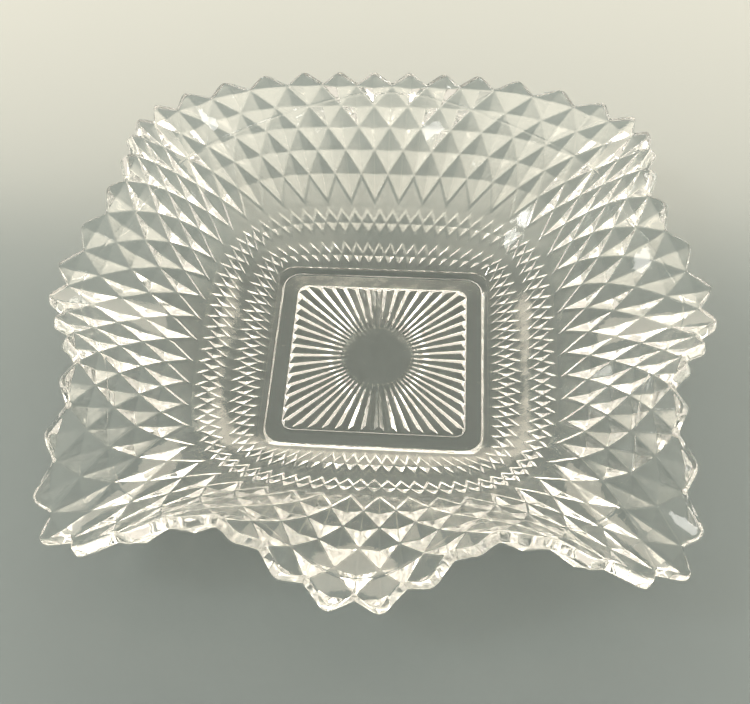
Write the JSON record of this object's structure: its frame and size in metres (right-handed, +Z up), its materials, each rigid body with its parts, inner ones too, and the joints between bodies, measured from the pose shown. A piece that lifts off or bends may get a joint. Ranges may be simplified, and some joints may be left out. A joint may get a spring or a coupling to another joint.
{
  "type": "candy dish",
  "caption": "Square ruffled candy dish of clear pressed glass, with a diamond-point outside, a sawtooth rim and a rayed base.",
  "frame": {"origin": "middle of the square foot, at the height of the table it rests on", "axes": "+Z straight up out of the dish; X and Y run across the square, at right angles to its sides"},
  "size_m": [0.1886, 0.1886, 0.0454],
  "materials": {
    "clear_glass": "polished"
  },
  "bodies": {
    "root": {"dish": "clear_glass"}
  },
  "joints": []
}
